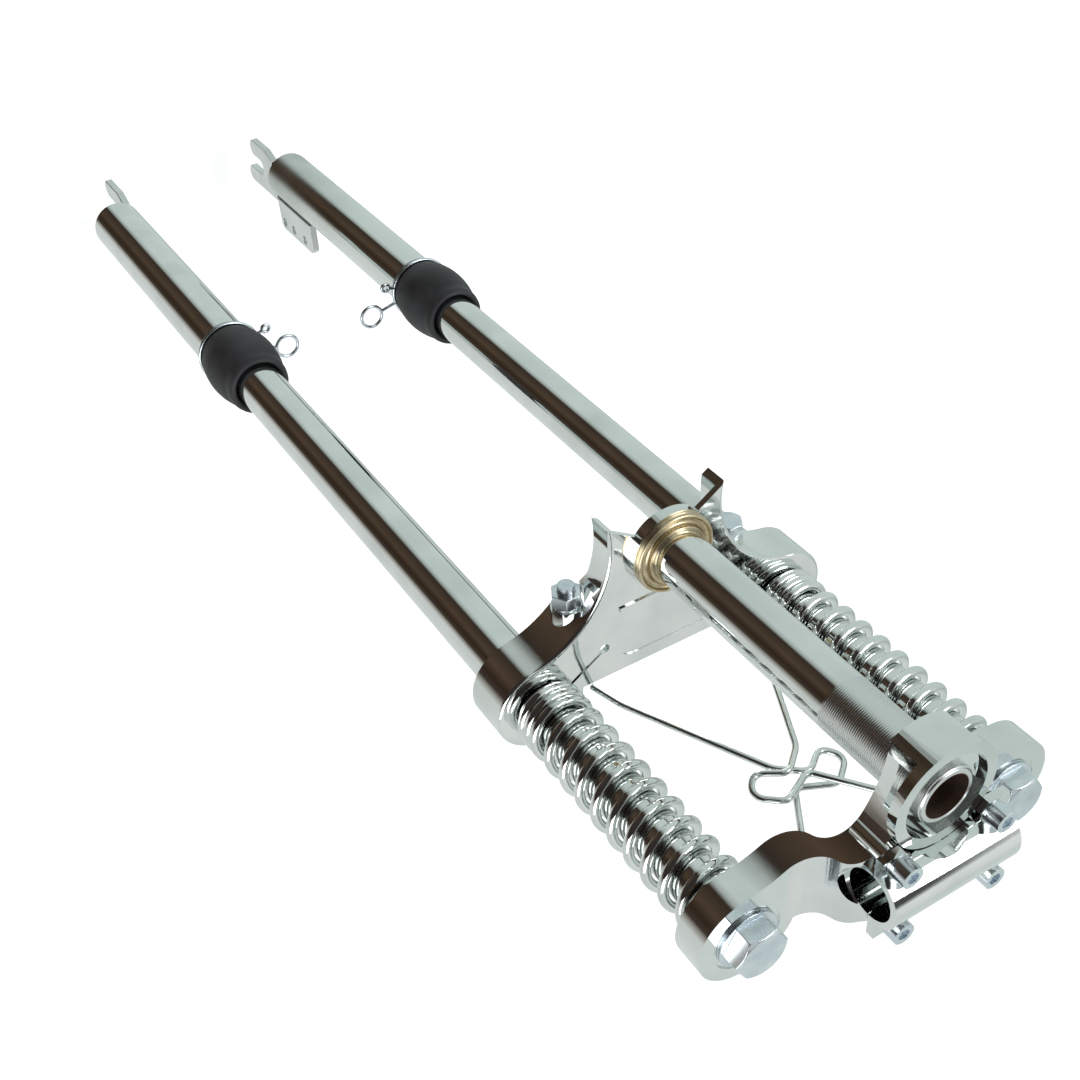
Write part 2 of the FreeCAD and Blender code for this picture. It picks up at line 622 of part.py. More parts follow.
def add_clamp_seat(body):
    """Saddle for the lower half of the handlebar, with a bolt pillar at each corner."""
    y, z, half = D["bar_y"], D["bar_z"], D["clamp_half"]
    front, back = y - 13.5, y + 12.5
    base = D["crown_bottom"]
    add(body, "XY_Plane", base, lambda s: draw_loop(
        s, (-half, front), [(half, front), (half, back), (-half, back), (-half, front)]), z - base)
    pillar_radius, drill = 5.2, 2.6
    for sx in (1, -1):
        for sy in (1, -1):
            at = (sx * D["clamp_bolt_x"], y + sy * D["clamp_bolt_y"])
            add(body, "XY_Plane", base, lambda s: draw_circle(s, *at, pillar_radius), z - base)
            cut(body, "XY_Plane", z, lambda s: draw_circle(s, *at, drill), 14.0)
    cut(body, "YZ_Plane", 0, lambda s: draw_circle(s, d("bar_y"), d("bar_z"), d("bar_radius")), both=True)
    relief = 1.3
    for sign in (1, -1):
        cut(body, "YZ_Plane", sign * half, lambda s: draw_circle(
            s, d("bar_y"), d("bar_z"), d("bar_radius", 1, relief)), reverse=sign > 0)


def make_clamp_cap():
    y, z, half = D["bar_y"], D["bar_z"], D["clamp_half"]
    bore, outer = D["bar_radius"], D["bar_radius"] + D["clamp_wall"]
    gap, flange, reach = 0.6, D["clamp_flange"], D["clamp_bolt_y"] + 5.2
    shoulder = math.sqrt(outer ** 2 - flange ** 2)
    inner = math.sqrt(bore ** 2 - gap ** 2)
    body = new_body("handlebar_clamp_cap")
    add(body, "YZ_Plane", 0, lambda s: draw_loop(s, (y - reach, z + gap), [
        (y - reach, z + flange), (y - shoulder, z + flange), (y, z + outer, y + shoulder, z + flange),
        (y + reach, z + flange), (y + reach, z + gap), (y + inner, z + gap),
        (y, z + bore, y - inner, z + gap), (y - reach, z + gap)]), 2 * half, both=True)
    notch = D["clamp_bolt_x"] - 6.0
    for low, high in ((y + outer, y + reach + 1), (y - reach - 1, y - outer)):
        cut(body, "XY_Plane", z, lambda s: draw_loop(
            s, (-notch, low), [(notch, low), (notch, high), (-notch, high), (-notch, low)]), both=True)
    ring_gap = 0.5
    cut(body, "XY_Plane", 0, lambda s: draw_circle(s, 0, 0, d("crown_radius", 1, ring_gap)), both=True)
    drill, spot = 3.2, 5.3
    for sx in (1, -1):
        for sy in (1, -1):
            cut(body, "XY_Plane", z, lambda s: draw_circle(
                s, sx * D["clamp_bolt_x"], y + sy * D["clamp_bolt_y"], drill), both=True)
            cut(body, "XY_Plane", z + flange + THROUGH, lambda s: draw_circle(
                s, sx * D["clamp_bolt_x"], y + sy * D["clamp_bolt_y"], spot), THROUGH)


# --------------------------------------------------------------- fasteners
def group(label, items):
    item = doc.addObject("Part::Compound", label)
    item.Links = items
    return keep(item, label)


def socket_screw(name, x, y, top, length):
    """Socket head screw with its head's top at a height and its shank pointing down."""
    head_radius, head_height, shank_radius, socket, socket_depth = 4.9, 6.0, 2.6, 2.5, 3.2
    head = primitive("Cylinder", name + "_head", Vector(x, y, top - head_height),
                     Radius=head_radius, Height=head_height)
    shank = primitive("Cylinder", name + "_shank", Vector(x, y, top - head_height - length),
                      Radius=shank_radius, Height=length + 0.5)
    blank = doc.addObject("Part::Fuse", name + "_blank")
    blank.Base, blank.Tool = head, shank
    hexagon = primitive("Prism", name + "_socket", Vector(x, y, top - socket_depth),
                        Polygon=6, Circumradius=socket * 1.155, Height=socket_depth + 1)
    screw = doc.addObject("Part::Cut", name)
    screw.Base, screw.Tool = blank, hexagon
    return screw


def hex_headed(name, position, axis, across, head, length, radius, bevel=1.4):
    """Hex bolt: the head's outer face is at position and the shank points along axis."""
    blank = primitive("Prism", name + "_hex", position, axis=axis, Polygon=6,
                      Circumradius=across / math.sqrt(3), Height=head)
    dome = primitive("Cone", name + "_dome", position, axis=axis, Radius1=across / 2 - 0.4,
                     Radius2=across / 2 - 0.4 + (head + bevel) * 1.5, Height=head + bevel)
    top = doc.addObject("Part::Common", name + "_head")
    top.Base, top.Tool = blank, dome
    shank = primitive("Cylinder", name + "_shank", position + axis * (head - 0.5), axis=axis,
                      Radius=radius, Height=length + 0.5)
    bolt = doc.addObject("Part::Fuse", name)
    bolt.Base, bolt.Tool = top, shank
    return bolt


def pierced(name, kind, position, axis, hole, **values):
    """A nut (Prism) or washer (Cylinder) with a round hole."""
    blank = primitive(kind, name + "_blank", position, axis=axis, **values)
    bore = primitive("Cylinder", name + "_hole", position - axis, axis=axis, Radius=hole,
                     Height=float(values["Height"]) + 2)
    item = doc.addObject("Part::Cut", name)
    item.Base, item.Tool = blank, bore
    return item


def make_fasteners():
    up, down = Vector(0, 0, 1), Vector(0, 0, -1)
    rear, front = Vector(0, 1, 0), Vector(0, -1, 0)
    seat = D["bar_z"] + D["clamp_flange"]
    washer_height, screw_length = 1.6, 17.0
    spots = [(sx * D["clamp_bolt_x"], D["bar_y"] + sy * D["clamp_bolt_y"]) for sx in (1, -1) for sy in (1, -1)]
    group("clamp_spring_washers", [
        pierced(f"clamp_washer_{n}", "Cylinder", Vector(x, y, seat), up, 2.9, Radius=4.6, Height=washer_height)
        for n, (x, y) in enumerate(spots)])
    group("clamp_screws", [
        socket_screw(f"clamp_screw_{n}", x, y, seat + washer_height + 6.0, screw_length)
        for n, (x, y) in enumerate(spots)])

    boss = D["arm_top"] - 0.8
    cap_washer, cap_head, cap_across = 2.2, 9.0, 22.0
    cap_length = boss + cap_washer - (D["web_top"] - D["plug_length"] + 4.0)
    legs = [Vector(sign * D["leg_offset"], D["leg_plane"], 0) for _, sign in SIDES]
    group("leg_cap_washers", [
        pierced(f"cap_washer_{n}", "Cylinder", at + up * boss, up, 5.3, Radius=14.0, Height=cap_washer)
        for n, at in enumerate(legs)])
    group("leg_cap_bolts", [
        hex_headed(f"cap_bolt_{n}", at + up * (boss + cap_washer + cap_head), down, cap_across, cap_head,
                   cap_length, 4.98)
        for n, at in enumerate(legs)])

    front_face, rear_face = D["web_front"], -22.0
    nut_height, bolt_head, thin = 6.5, 5.5, 1.5
    shank = rear_face - front_face + 2 * thin + nut_height + 3.5
    bolts, nuts, washers = [], [], []
    for side, sign in SIDES:
        x = sign * PINCH_X
        head_face, nut_face, along = (rear_face, front_face, front) if sign > 0 else (front_face, rear_face, rear)
        bolts.append(hex_headed(
            f"pinch_bolt_{side}", Vector(x, head_face, PINCH_Z) - along * (thin + bolt_head), along, 13.0,
            bolt_head, shank, 4.0, 0.6))
        nuts.append(pierced(
            f"pinch_nut_{side}", "Prism", Vector(x, nut_face, PINCH_Z) + along * thin, along, 4.02,
            Polygon=6, Circumradius=13.0 / math.sqrt(3), Height=nut_height))
        for face, away in ((head_face, -1), (nut_face, 1)):
            washers.append(pierced(f"pinch_washer_{side}_{away + 1}", "Cylinder", Vector(x, face, PINCH_Z),
                                   along * away, 4.2, Radius=6.8, Height=thin))
    group("pinch_bolts", bolts)
    group("pinch_nuts", nuts)
    group("pinch_washers", washers)


# --------------------------------------------------------------- fork ends
def make_fork_end(side, sign, bracket):
    """Flat drop-out with an open axle slot; one side carries the bracket for the brake anchor."""
    y, bottom = D["leg_plane"], D["slider_bottom"]
    slot, axle_z = D["axle_radius"], D["axle_z"]
    tip_front, tip_rear, prong = bottom - 50.0, bottom - 40.0, 12.0
    body = new_body(f"fork_end_{side}")
    root, round_by, diagonal = 13.5, 6.0, math.sqrt(0.5)
    anchor = [(y - 15.6, bottom), (y - 15.6, bottom + 58.0), (y - 36.0, bottom + 58.0),
              (y - 39.0, bottom + 55.0), (y - 39.0, bottom + 4.0), (y - 36.0, bottom + 1.0),
              (y - slot - prong, bottom)]
    plain = [(y - slot - prong, bottom - 12.0)]
    add(body, "YZ_Plane", 0, lambda s: draw_loop(s, (y + slot, axle_z), [
        (y + slot, tip_rear + round_by / 2),
        (y + slot + prong / 2, tip_rear - 1.0, y + slot + prong, tip_rear + round_by / 2),
        (y + slot + prong, bottom - 12.0), (y + root, bottom)]
        + ([(y - root, bottom)] if not bracket else [])
        + (anchor if bracket else plain) + [
        (y - slot - prong, tip_front + round_by / 2),
        (y - slot - prong / 2, tip_front - 1.0, y - slot, tip_front + round_by / 2),
        (y - slot, axle_z), (y - slot * diagonal, axle_z + slot * diagonal, y, axle_z + slot),
        (y + slot * diagonal, axle_z + slot * diagonal, y + slot, axle_z)]),
        (D["end_thick"], "dims.end_thick"), both=True)
    if bracket:
        hole_y, hole_radius = y - 32.5, 3.2
        for rise in (8.0, 24.0, 44.0):
            cut(body, "YZ_Plane", 0, lambda s: draw_circle(s, hole_y, bottom + rise, hole_radius), both=True)
    place(body, f"{sign} * dims.end_x")


# ------------------------------------------------------------ cable guides
def bent_wire(label, points, radii, wire_radius):
    """Round wire along straight runs joined by tangent arcs."""
    edges = []
    here = points[0]
    for before, corner, after, radius in zip(points, points[1:], points[2:], radii):
        into = (corner - before).normalize()
        out = (after - corner).normalize()
        half_turn = into.getAngle(out) / 2
        back = radius * math.tan(half_turn)
        start, end = corner - into * back, corner + out * back
        to_middle = (out - into).normalize()
        middle = corner + to_middle * (radius / math.cos(half_turn) - radius)
        edges += [Part.LineSegment(here, start).toShape(), Part.Arc(start, middle, end).toShape()]
        here = end
    edges.append(Part.LineSegment(here, points[-1]).toShape())
    ring = Part.Wire([Part.makeCircle(wire_radius, points[0], points[1] - points[0])])
    item = doc.addObject("Part::Feature", label)
    item.Shape = Part.Wire(edges).makePipeShell([ring], True, False)
    return keep(item, label)


GUIDE_POINTS = [(-42.0, -3.9), (-38.0, 14.0), (-6.0, 82.0), (6.0, 92.0), (18.0, 83.0), (26.0, 92.0),
                (14.0, 101.5), (-3.0, 93.0), (-20.0, 119.0), (-31.0, 142.8)]
GUIDE_DEPTH = [0.0, 1.0, 1.0, 1.0, 0.0, -1.5, -2.6, -2.8, -1.0, 0.0]
GUIDE_RADII = [30.0, 14.0, 5.0, 5.0, 5.5, 5.5, 4.0, 30.0]


def make_cable_guides():
    """Two crossing wires between the yokes, each with a teardrop loop for a cable."""
    for (side, sign), depth in zip(SIDES, (-56.5, -63.0)):
        points = [Vector(-sign * x, depth + shift, z) for (x, z), shift in zip(GUIDE_POINTS, GUIDE_DEPTH)]
        bent_wire(f"cable_guide_{side}", points, GUIDE_RADII, D["guide_wire"])


# ----------------------------------------------------------------- assemble
make_steerer()
make_crown_race()
make_lower_yoke()
make_top_yoke()
make_clamp_cap()
make_fasteners()
make_cable_guides()
for side_name, side_sign in SIDES:
    make_leg_tubes(side_name, side_sign)
    make_leg_bushes(side_name, side_sign)
    make_leg_inside(side_name, side_sign)
    make_dress_spring(side_name, side_sign)
    make_boot(side_name, side_sign)
    make_boot_clip(side_name, side_sign)
    make_fork_end(side_name, side_sign, bracket=side_sign > 0)

doc.recompute()
for obj in doc.Objects:
    if "Invalid" in obj.State or "Error" in obj.State:
        raise RuntimeError(f"{obj.Label} did not compute")
os.makedirs("parts", exist_ok=True)
for part in parts:
    if part.Shape.isNull() or not part.Shape.isValid():
        raise RuntimeError(f"{part.Label} has no valid shape")
for part in parts:
    part.Shape.exportStep(os.path.join("parts", part.Label + ".step"))
print(len(parts), "parts", {p.Label: round(p.Shape.Volume) for p in parts})
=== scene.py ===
import json
import math

import bmesh
import bpy
from mathutils import Matrix, Vector


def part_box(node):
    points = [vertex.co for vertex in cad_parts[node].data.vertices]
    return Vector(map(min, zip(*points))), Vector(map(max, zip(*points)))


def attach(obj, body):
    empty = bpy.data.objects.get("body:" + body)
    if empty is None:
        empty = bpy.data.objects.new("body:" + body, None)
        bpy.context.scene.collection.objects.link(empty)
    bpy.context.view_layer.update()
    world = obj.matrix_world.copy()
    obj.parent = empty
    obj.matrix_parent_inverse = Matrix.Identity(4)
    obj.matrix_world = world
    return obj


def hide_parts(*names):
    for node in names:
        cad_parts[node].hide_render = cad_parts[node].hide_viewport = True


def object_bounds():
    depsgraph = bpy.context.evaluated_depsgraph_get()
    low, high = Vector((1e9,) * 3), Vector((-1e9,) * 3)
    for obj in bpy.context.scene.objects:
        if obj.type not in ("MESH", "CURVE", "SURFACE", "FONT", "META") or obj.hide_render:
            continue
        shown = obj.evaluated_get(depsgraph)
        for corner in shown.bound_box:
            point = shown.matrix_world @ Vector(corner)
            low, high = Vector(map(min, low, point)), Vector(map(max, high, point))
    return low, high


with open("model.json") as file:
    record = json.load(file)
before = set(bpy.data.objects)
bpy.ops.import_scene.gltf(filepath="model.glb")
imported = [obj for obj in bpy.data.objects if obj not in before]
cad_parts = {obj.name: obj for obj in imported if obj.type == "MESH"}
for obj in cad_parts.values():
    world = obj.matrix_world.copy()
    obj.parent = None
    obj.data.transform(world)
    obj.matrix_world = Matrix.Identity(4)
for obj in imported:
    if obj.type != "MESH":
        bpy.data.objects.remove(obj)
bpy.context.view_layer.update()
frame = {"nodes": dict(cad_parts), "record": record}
nodes = frame["nodes"]
record = frame["record"]
SLOT_OF = {sub["node"]: sub["material_slot"] for sub in record["subparts"]}
BODY_OF = {node: body for body, members in record["behaviour"]["bodies"].items()
           for node in members}
SIDES = ("left", "right")
MM = 0.001
SKIN = "_skin"

# Inner radii and finish limits that a node's outer box doesn't tell, in metres
STANCHION_BORE = 0.011
DISTANCE_BORE = 0.009
STEERER_BORE = 0.0102
THREAD_START, THREAD_FULL = 0.1125, 0.1135
THREAD_PITCH = 0.001
DULL_FOOT, DULL_TOP = -0.560, -0.450
LEG_FACETS, ROUND_FACETS = 128, 96


# ------------------------------------------------------------- shader trees
class Tree:
    """Adds nodes to a shader tree and wires them."""

    def __init__(self, tree):
        self.tree = tree

    def node(self, kind, inputs=None, **settings):
        item = self.tree.nodes.new(kind)
        for key, value in settings.items():
            setattr(item, key, value)
        for key, value in (inputs or {}).items():
            self.feed(value, item.inputs[key])
        return item

    def feed(self, value, socket):
        if isinstance(value, bpy.types.NodeSocket):
            self.tree.links.new(value, socket)
        else:
            socket.default_value = value

    def math(self, operation, *values):
        inputs = dict(enumerate(values))
        return self.node("ShaderNodeMath", inputs, operation=operation).outputs["Value"]

    def vector_math(self, operation, output, *values):
        inputs = dict(enumerate(values))
        return self.node("ShaderNodeVectorMath", inputs, operation=operation).outputs[output]

    def between(self, value, start, end):
        """0 at start and 1 at end, held beyond both."""
        return self.node("ShaderNodeMapRange", {
            "Value": value, "From Min": start, "From Max": end}).outputs["Result"]

    def spread(self, fac, low, high):
        return self.node("ShaderNodeMapRange", {
            "Value": fac, "To Min": low, "To Max": high}).outputs["Result"]

    def ramp(self, fac, stops):
        item = self.node("ShaderNodeValToRGB", {"Fac": fac})
        elements = item.color_ramp.elements
        while len(elements) < len(stops):
            elements.new(0.5)
        for element, (position, colour) in zip(elements, stops):
            element.position = position
            element.color = (*colour, 1.0)
        return item.outputs["Color"]

    def mix(self, fac, first, second):
        factor, colour_a, colour_b, colour_out = 0, 6, 7, 2
        item = self.node("ShaderNodeMix", {factor: fac}, data_type="RGBA")
        for index, value in ((colour_a, first), (colour_b, second)):
            self.feed((*value, 1.0) if isinstance(value, tuple) else value, item.inputs[index])
        return item.outputs[colour_out]


class Surface(Tree):
    """A new material whose patterns lie on the part's own coordinates."""

    def __init__(self, name):
        self.material = bpy.data.materials.new(name)
        self.material.use_nodes = True
        super().__init__(self.material.node_tree)
        self.shader = self.tree.nodes["Principled BSDF"]
        self.place = self.node("ShaderNodeTexCoord").outputs["Object"]

    def noise(self, scale, detail=3.0, stretch=None):
        place = self.place
        if stretch:
            place = self.node("ShaderNodeMapping", {
                "Vector": place, "Scale": stretch}).outputs["Vector"]
        return self.node("ShaderNodeTexNoise", {
            "Vector": place, "Scale": scale, "Detail": detail}).outputs["Fac"]

    def height_share(self, start, end):
        split = self.node("ShaderNodeSeparateXYZ", {"Vector": self.place})
        return self.between(split.outputs["Z"], start, end)

    def bump(self, height, strength, distance):
        item = self.node("ShaderNodeBump", {
            "Height": height, "Strength": strength, "Distance": distance})
        self.feed(item.outputs["Normal"], self.shader.inputs["Normal"])

    def set(self, **values):
        for key, value in values.items():
            self.feed(value, self.shader.inputs[key.replace("_", " ")])


# ---------------------------------------------------------------- materials
CHROME_DARK, CHROME_LIGHT = (0.70, 0.73, 0.715), (0.82, 0.84, 0.83)
CHROME_MIDDLE = (0.78, 0.81, 0.795)
CHROME_GRAIN = 38.0
CHROME_ROUGH = 0.05
FINE_GRAIN = 14
SURFACE_DENT = 0.0004
WAVE_REPEATS = 3.18  # bands in one unit of length, for a wave texture of scale 1


def metal(name, dark, light, rough, grain=CHROME_GRAIN, dimple=0.02, stretch=None):
    """Plated or bare metal: colour, gloss and a faint surface wave all vary over the part."""
    g = Surface(name)
    broad = g.noise(grain, 3.0, stretch)
    fine = g.noise(grain * FINE_GRAIN, 4.0, stretch)
    g.set(Metallic=1.0, Base_Color=g.ramp(broad, [(0.3, dark), (0.7, light)]),
          Roughness=g.spread(fine, *rough))
    g.bump(fine, dimple, SURFACE_DENT)
    return g.material


def threaded_chrome():
    """Bright chrome below, fine matt thread above, and a dark rusty bore."""
    thread_colour, thread_rough, thread_depth = (0.72, 0.74, 0.73), 0.26, 0.0003
    rust_dark, rust_light = (0.030, 0.016, 0.010), (0.075, 0.040, 0.024)
    rust_metallic, rust_rough = 0.3, 0.4
    g = Surface("chrome_threaded")
    share = g.height_share(THREAD_START, THREAD_FULL)
    thread = g.node("ShaderNodeTexWave", {
        "Vector": g.place, "Scale": 1 / (THREAD_PITCH * WAVE_REPEATS), "Distortion": 0.0},
        wave_type="BANDS", bands_direction="Z").outputs["Fac"]
    bright = g.ramp(g.noise(CHROME_GRAIN), [(0.3, CHROME_DARK), (0.7, CHROME_LIGHT)])
    outside = g.mix(share, bright, thread_colour)
    flat = g.vector_math("MULTIPLY", "Vector", g.place, (1.0, 1.0, 0.0))
    radius = g.vector_math("LENGTH", "Value", flat)
    bore = g.between(radius, STEERER_BORE + 0.0004, STEERER_BORE + 0.0001)
    rust = g.ramp(g.noise(160.0, 5.0), [(0.35, rust_dark), (0.7, rust_light)])
    g.set(Metallic=g.spread(bore, 1.0, rust_metallic), Base_Color=g.mix(bore, outside, rust),
          Roughness=g.math("ADD", g.spread(share, CHROME_ROUGH, thread_rough),
                           g.spread(bore, 0.0, rust_rough)))
    g.bump(thread, g.spread(share, 0.0, 0.5), thread_depth)
    return g.material


def dulled_chrome():
    """Chrome that turns to a frosted, greyer finish towards its foot."""
    g = Surface("chrome_dulled")
    share = g.height_share(DULL_TOP, DULL_FOOT)
    patchy = g.noise(26.0, 5.0)
    dull = g.ramp(patchy, [(0.35, (0.52, 0.56, 0.53)), (0.65, (0.70, 0.73, 0.70))])
    g.set(Metallic=1.0, Base_Color=g.mix(share, CHROME_MIDDLE, dull),
          Roughness=g.spread(share, CHROME_ROUGH, 0.33))
    g.bump(patchy, 0.03, SURFACE_DENT)
    return g.material


def rubber():
    g = Surface("rubber_matt")
    broad = g.noise(60.0)
    fine = g.noise(1400.0)
    g.set(Base_Color=g.ramp(broad, [(0.3, (0.012, 0.012, 0.014)), (0.75, (0.028, 0.028, 0.032))]),
          Roughness=g.spread(fine, 0.48, 0.66), Specular_IOR_Level=0.45)
    g.bump(fine, 0.12, 0.0003)
    return g.material


MATERIALS = {
    "chrome": metal("chrome_plate", CHROME_DARK, CHROME_LIGHT, (0.035, 0.085)),
    "plain_steel": metal("turned_steel", (0.42, 0.41, 0.39), (0.60, 0.59, 0.57), (0.22, 0.40),
                         stretch=(1.0, 1.0, 6.0)),
    "satin_steel": metal("dull_plate", (0.66, 0.68, 0.67), (0.80, 0.82, 0.81), (0.16, 0.28),
                         dimple=0.01),
    "spring_steel": metal("oiled_spring_steel", (0.10, 0.10, 0.11), (0.20, 0.20, 0.21),
                          (0.25, 0.42)),
    "zinc": metal("blue_white_zinc", (0.60, 0.66, 0.72), (0.80, 0.85, 0.88), (0.16, 0.30),
                  grain=90.0),
    "race_steel": metal("greased_race", (0.42, 0.33, 0.19), (0.72, 0.62, 0.44), (0.20, 0.38),
                        grain=120.0),
    "bronze": metal("sintered_bronze", (0.40, 0.26, 0.10), (0.62, 0.44, 0.20), (0.30, 0.48)),
    "rubber": rubber(),
}
SPECIAL = {
    "steerer_tube": threaded_chrome(),
    "slider_left": dulled_chrome(),
}


# ------------------------------------------------------------------- pieces
def middle(node):
    low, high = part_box(node)
    return ((low[0] + high[0]) / 2, (low[1] + high[1]) / 2)


def radius_of(node):
    low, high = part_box(node)
    return (high[0] - low[0]) / 2


def heights(node):
    low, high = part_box(node)
    return low[2], high[2]


def finish_piece(obj, node):
    """Let a new piece stand for its CAD node, with that node's finish and body."""
    obj.data.materials.clear()
    obj.data.materials.append(SPECIAL.get(node, MATERIALS[SLOT_OF[node]]))
    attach(obj, BODY_OF[node])
    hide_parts(node)
    return obj


def new_object(name, mesh, angle):
    """Object with smooth-shaded faces that breaks the shading at edges over an angle."""
    mesh.shade_smooth()
    mesh.set_sharp_from_angle(angle=math.radians(angle))
    obj = bpy.data.objects.new(name, mesh)
    bpy.context.scene.collection.objects.link(obj)
    return obj


def closed_object(name, bm, angle):
    bmesh.ops.recalc_face_normals(bm, faces=bm.faces)
    mesh = bpy.data.meshes.new(name)
    bm.to_mesh(mesh)
    bm.free()
    return new_object(name, mesh, angle)


def round_edges(obj, width, angle):
    """Bake softly broken edges into the mesh."""
    edge = obj.modifiers.new("edge", "BEVEL")
    edge.width = width
    edge.segments = 3
    edge.limit_method = "ANGLE"
    edge.angle_limit = math.radians(angle)
    edge.use_clamp_overlap = True
    weighted = obj.modifiers.new("normals", "WEIGHTED_NORMAL")
    weighted.keep_sharp = True
    weighted.weight = 60
    evaluated = obj.evaluated_get(bpy.context.evaluated_depsgraph_get())
    baked = bpy.data.meshes.new_from_object(evaluated)
    obj.modifiers.clear()
    obj.data = baked


def smooth_copy(node, bevel):
    """The CAD node's own shape with welded, smooth-shaded faces and softly broken edges."""
    weld, flat_angle, edge_angle = 2e-6, 0.4, 32.0
    mesh = nodes[node].data.copy()
    bm = bmesh.new()
    bm.from_mesh(mesh)
    bmesh.ops.remove_doubles(bm, verts=bm.verts, dist=weld)
    bmesh.ops.dissolve_limit(bm, angle_limit=math.radians(flat_angle), verts=bm.verts,
                             edges=bm.edges)
    bm.to_mesh(mesh)
    bm.free()
    obj = new_object(node + SKIN, mesh, edge_angle)
    if bevel:
        round_edges(obj, bevel, edge_angle)
    return finish_piece(obj, node)


def circle(steps):
    for step in range(steps):
        turn = 2 * math.pi * step / steps
        yield math.cos(turn), math.sin(turn)


def lathe(name, profile, centre, steps, angle):
    """Solid of revolution about Z from a closed list of (radius, height) points."""
    bm = bmesh.new()
    rings = [[bm.verts.new((centre[0] + r * across, centre[1] + r * along, z))
              for r, z in profile] for across, along in circle(steps)]
    count = len(profile)
    for here, there in zip(rings, rings[1:] + rings[:1]):
        for k in range(count):
            bm.faces.new((here[k], there[k], there[(k + 1) % count], here[(k + 1) % count]))
    return closed_object(name, bm, angle)


def sweep(name, points, radius, sides, angle):
    """Round wire of a given radius through a list of points, with closed ends."""
    bm = bmesh.new()
    rings = []
    normal = None
    for k, point in enumerate(points):
        ahead = points[min(k + 1, len(points) - 1)] - points[max(k - 1, 0)]
        ahead.normalize()
        if normal is None:
            normal = ahead.orthogonal().normalized()
        normal = (normal - ahead * normal.dot(ahead)).normalized()
        side = ahead.cross(normal)
        rings.append([bm.verts.new(point + radius * (across * normal + along * side))
                      for across, along in circle(sides)])
    for here, there in zip(rings, rings[1:]):
        for s in range(sides):
            bm.faces.new((here[s], here[(s + 1) % sides], there[(s + 1) % sides], there[s]))
    bm.faces.new(list(reversed(rings[0])))
    bm.faces.new(rings[-1])
    return closed_object(name, bm, angle)


def tube_piece(node, inner, steps):
    """Plain tube with its two outer edges broken."""
    bevel, edge_angle = 0.0006, 30.0
    low, high = heights(node)
    outer = radius_of(node)
    profile = [(inner, low), (outer - bevel, low), (outer, low + bevel), (outer, high - bevel),
               (outer - bevel, high), (inner, high)]
    obj = lathe(node + SKIN, profile, middle(node), steps, edge_angle)
    return finish_piece(obj, node)


def coil_points(low, high, mean, wire, centre):
    """Close turns at the foot, open turns above, and a last turn that lies flat."""
    close_turns, open_turns, last_turns = 2.5, 9.0, 1.0
    close_pitch = 2 * wire + 0.00025
    start, end = low + wire, high - wire
    open_pitch = (end - start - close_pitch * (close_turns + last_turns)) / open_turns
    steps = 48
    points = []
    for step in range(int((close_turns + open_turns + last_turns) * steps) + 1):
        turn = step / steps
        rise = close_pitch * min(turn, close_turns)
        rise += open_pitch * min(max(turn - close_turns, 0), open_turns)
        rise += close_pitch * max(turn - close_turns - open_turns, 0)
        angle = 2 * math.pi * turn
        points.append(Vector((centre[0] + mean * math.cos(angle),
                              centre[1] + mean * math.sin(angle), start + rise)))
    return points


def make_dress_spring(node):
    wire, wire_sides, edge_angle = 0.0024, 16, 50.0
    low, high = heights(node)
    points = coil_points(low, high, radius_of(node) - wire, wire, middle(node))
    obj = sweep(node + SKIN, points, wire, wire_sides, edge_angle)
    return finish_piece(obj, node)


# The boot's outline, as (radius, height above its foot) in millimetres
BOOT_FOOT = [(17.02, 0.0), (18.7, 0.0), (19.3, 0.5), (19.4, 1.4), (19.0, 1.9), (18.4, 2.3),
             (18.3, 5.0), (18.8, 5.6), (19.5, 6.4)]
BOOT_TOP = [(19.2, 43.2), (18.9, 44.6), (19.1, 46.2), (18.9, 48.8), (18.4, 50.8), (17.6, 51.7),
            (16.8, 52.0)]
BOOT_INSIDE = [(15.6, 51.4), (14.6, 49.0), (14.3, 44.0), (14.3, 40.0), (15.6, 39.0),
               (15.4, 10.0), (15.4, 7.0), (17.02, 7.0)]
BELLY_LOW, BELLY_HIGH, BELLY_STEPS = 6.4, 42.5, 20
BELLY_RADIUS, BELLY_SWELL = 16.0, 6.28
BELLY_GAP = 0.02
BOOT_EDGE_ANGLE = 40.0


def make_boot(node):
    """Barrel-shaped rubber boot with a beaded foot and a rolled lip at its top."""
    low, _ = heights(node)
    widest = radius_of(node) / MM - BELLY_GAP
    belly = []
    for step in range(1, BELLY_STEPS):
        share = step / BELLY_STEPS
        bulge = math.sin(math.pi * (0.20 + 0.60 * share))
        belly.append((min(BELLY_RADIUS + BELLY_SWELL * bulge, widest),
                      BELLY_LOW + (BELLY_HIGH - BELLY_LOW) * share))
    profile = [(r * MM, low + z * MM) for r, z in BOOT_FOOT + belly + BOOT_TOP + BOOT_INSIDE]
    obj = lathe(node + SKIN, profile, middle(node), ROUND_FACETS, BOOT_EDGE_ANGLE)
    return finish_piece(obj, node)


for side in SIDES:
    tube_piece(f"stanchion_{side}", STANCHION_BORE, LEG_FACETS)
    tube_piece(f"distance_tube_{side}", DISTANCE_BORE, ROUND_FACETS)
    make_dress_spring(f"dress_spring_{side}")
    make_boot(f"boot_{side}")

